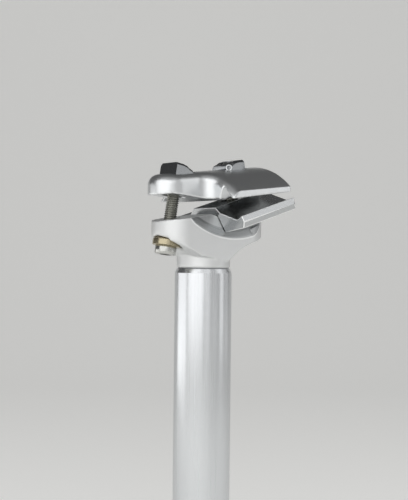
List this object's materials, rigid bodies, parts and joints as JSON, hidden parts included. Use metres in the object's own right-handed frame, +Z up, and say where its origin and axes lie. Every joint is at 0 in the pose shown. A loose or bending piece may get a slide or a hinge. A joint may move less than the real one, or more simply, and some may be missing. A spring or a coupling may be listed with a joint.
{
  "type": "bicycle seatpost",
  "caption": "Straight polished seatpost whose forged head carries a saddle-rail clamp, tilted by front and rear bolts with spherical washers and rocker nuts.",
  "frame": {"origin": "centre of the tube's square-cut lower end", "axes": "+Z up the tube towards the saddle clamp, +X to the rear of the bicycle, +Y across the post to the bicycle's right when facing the rear; Y = 0 is the mirror plane"},
  "size_m": [0.068, 0.056, 0.3029],
  "materials": {
    "tube": "polished",
    "head": "satin, bead-blasted, with a machined seat",
    "lower_cradle": "machined",
    "upper_clamp": "polished forging",
    "front_bolt": "zinc-plated",
    "rear_bolt": "zinc-plated",
    "front_washer": "turned brass",
    "rear_washer": "turned brass",
    "front_nut": "polished",
    "rear_nut": "polished"
  },
  "bodies": {
    "post": {"tube": "tube", "head": "head"},
    "saddle_clamp": {"lower_cradle": "lower_cradle", "upper_clamp": "upper_clamp"},
    "front_bolt_set": {"front_bolt": "front_bolt", "front_washer": "front_washer"},
    "rear_bolt_set": {"rear_bolt": "rear_bolt", "rear_washer": "rear_washer"},
    "front_nut_block": {"front_nut": "front_nut"},
    "rear_nut_block": {"rear_nut": "rear_nut"}
  },
  "joints": [
    {"name": "saddle_tilt", "type": "hinge", "parent": "post", "child": "saddle_clamp", "pos_m": [0.0084, 0, 0.3102], "axis": [0, 1, 0], "range_deg": [-6, 6]},
    {"name": "front_bolt_swing", "type": "hinge", "parent": "post", "child": "front_bolt_set", "pos_m": [-0.02287, 0, 0.2569], "axis": [0, 1, 0], "range_deg": [-3.6, 3.6]},
    {"name": "rear_bolt_swing", "type": "hinge", "parent": "post", "child": "rear_bolt_set", "pos_m": [0.0208, 0, 0.2617], "axis": [0, 1, 0], "range_deg": [-2.6, 2.6]},
    {"name": "front_nut_rock", "type": "hinge", "parent": "saddle_clamp", "child": "front_nut_block", "pos_m": [-0.0168, 0, 0.2932], "axis": [0, 1, 0], "range_deg": [-9.6, 9.6]},
    {"name": "rear_nut_rock", "type": "hinge", "parent": "saddle_clamp", "child": "rear_nut_block", "pos_m": [0.0154, 0, 0.297], "axis": [0, 1, 0], "range_deg": [-8.6, 8.6]}
  ],
  "couplings": [
    {"joint": "front_bolt_swing", "follows": "saddle_tilt", "ratio": -0.5692},
    {"joint": "rear_bolt_swing", "follows": "saddle_tilt", "ratio": -0.3934},
    {"joint": "front_nut_rock", "follows": "saddle_tilt", "ratio": -1.5692},
    {"joint": "rear_nut_rock", "follows": "saddle_tilt", "ratio": -1.3934}
  ]
}
